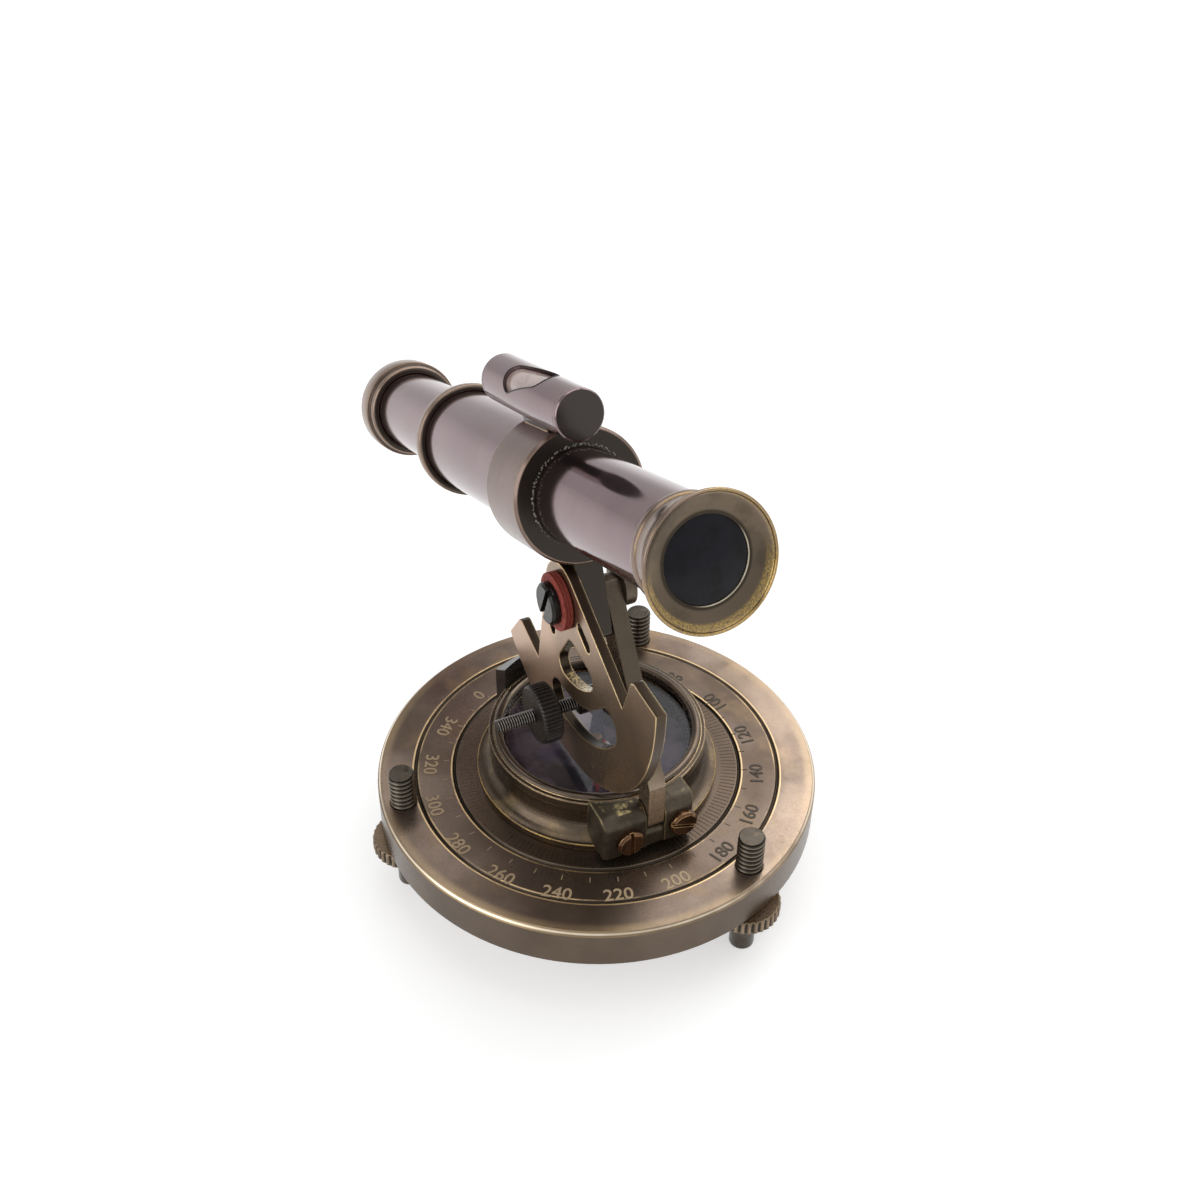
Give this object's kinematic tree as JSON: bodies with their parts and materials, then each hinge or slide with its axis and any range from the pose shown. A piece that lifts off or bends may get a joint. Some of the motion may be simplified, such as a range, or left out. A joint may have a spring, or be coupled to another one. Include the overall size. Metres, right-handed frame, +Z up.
{
  "type": "alidade",
  "caption": "Small antiqued brass alidade: a sighting telescope with a level on a folding arm with a slotted sector and clamp, over a compass on a levelling base.",
  "frame": {"origin": "on the table under the base's centre", "axes": "+X the way the telescope looks, +Z up, -Y the side of the clamp"},
  "size_m": [0.1685, 0.1022, 0.1328],
  "materials": {
    "antique_brass": "antiqued, worn bright on the edges",
    "tube_bronze": "smooth grey-violet lacquer over brass",
    "fitting_bronze": "antiqued olive brown, worn edges",
    "sector_brass": "brushed and antiqued, bright worn edges",
    "arm_bronze": "dark antiqued with bright scratches",
    "dark_steel": "blackened, worn thread crests",
    "copper_screw": "coppery brass",
    "black_lacquer": "black lacquer, rubbed",
    "red_fibre": "matte vulcanised fibre",
    "dial_card": "matte printed card",
    "blued_steel": "blued with a red tip",
    "clear_glass": "clear"
  },
  "bodies": {
    "base": {"base_plate": "antique_brass"},
    "levelling_screw_1": {"levelling_rod_1": "dark_steel", "levelling_wheel_1": "antique_brass"},
    "levelling_screw_2": {"levelling_rod_2": "dark_steel", "levelling_wheel_2": "antique_brass"},
    "levelling_screw_3": {"levelling_rod_3": "dark_steel", "levelling_wheel_3": "antique_brass"},
    "turntable": {"azimuth_spindle": "dark_steel", "spindle_washer": "antique_brass", "spindle_nut": "antique_brass", "compass_box": "antique_brass", "bezel_ring": "antique_brass", "compass_glass": "clear_glass", "compass_dial": "dial_card", "needle_pin": "antique_brass", "rest_block": "black_lacquer", "hinge_block_near": "arm_bronze", "hinge_block_far": "arm_bronze", "hinge_pin": "dark_steel", "hinge_screws": "copper_screw"},
    "needle": {"compass_needle": "blued_steel", "needle_cap": "antique_brass"},
    "arm": {"arm_bar": "arm_bronze", "clamp_stud": "dark_steel", "pivot_screw": "dark_steel", "pivot_washers": "red_fibre", "pivot_nut": "arm_bronze"},
    "clamp_nut": {"clamp_nut": "dark_steel"},
    "telescope": {"sector_plate": "sector_brass", "telescope_collar": "fitting_bronze", "front_tube": "tube_bronze", "rear_tube": "tube_bronze", "rear_ring": "fitting_bronze", "objective_cell": "fitting_bronze", "objective_retainer": "fitting_bronze", "objective_lens": "clear_glass", "level_tube": "tube_bronze", "level_vial": "clear_glass", "level_caps": "black_lacquer"},
    "draw": {"draw_tube": "tube_bronze", "draw_bush": "antique_brass", "eyepiece_cap": "fitting_bronze", "eye_lens": "clear_glass", "eye_retainer": "fitting_bronze"}
  },
  "joints": [
    {"name": "levelling_1", "type": "slide", "parent": "base", "child": "levelling_screw_1", "axis": [0, 0, -1], "range_m": [0, 0.004]},
    {"name": "levelling_2", "type": "slide", "parent": "base", "child": "levelling_screw_2", "axis": [0, 0, -1], "range_m": [0, 0.004]},
    {"name": "levelling_3", "type": "slide", "parent": "base", "child": "levelling_screw_3", "axis": [0, 0, -1], "range_m": [0, 0.004]},
    {"name": "azimuth", "type": "hinge", "parent": "base", "child": "turntable", "pos_m": [0, 0, 0.025], "axis": [0, 0, 1], "continuous": true},
    {"name": "needle_spin", "type": "hinge", "parent": "turntable", "child": "needle", "pos_m": [0, 0, 0.0314], "axis": [0, 0, 1], "continuous": true},
    {"name": "arm_fold", "type": "hinge", "parent": "turntable", "child": "arm", "pos_m": [0.027, 0, 0.0336], "axis": [0, 1, 0], "range_deg": [0, 60]},
    {"name": "telescope_tilt", "type": "hinge", "parent": "arm", "child": "telescope", "pos_m": [0.0042, 0, 0.07935], "axis": [0, 1, 0], "range_deg": [-8, 52]},
    {"name": "clamp_turn", "type": "hinge", "parent": "arm", "child": "clamp_nut", "pos_m": [0.00631, -0.0159, 0.05193], "axis": [0, -1, 0], "continuous": true},
    {"name": "focus", "type": "slide", "parent": "telescope", "child": "draw", "axis": [0.9379, 0, 0.3469], "range_m": [0, 0.034]}
  ]
}
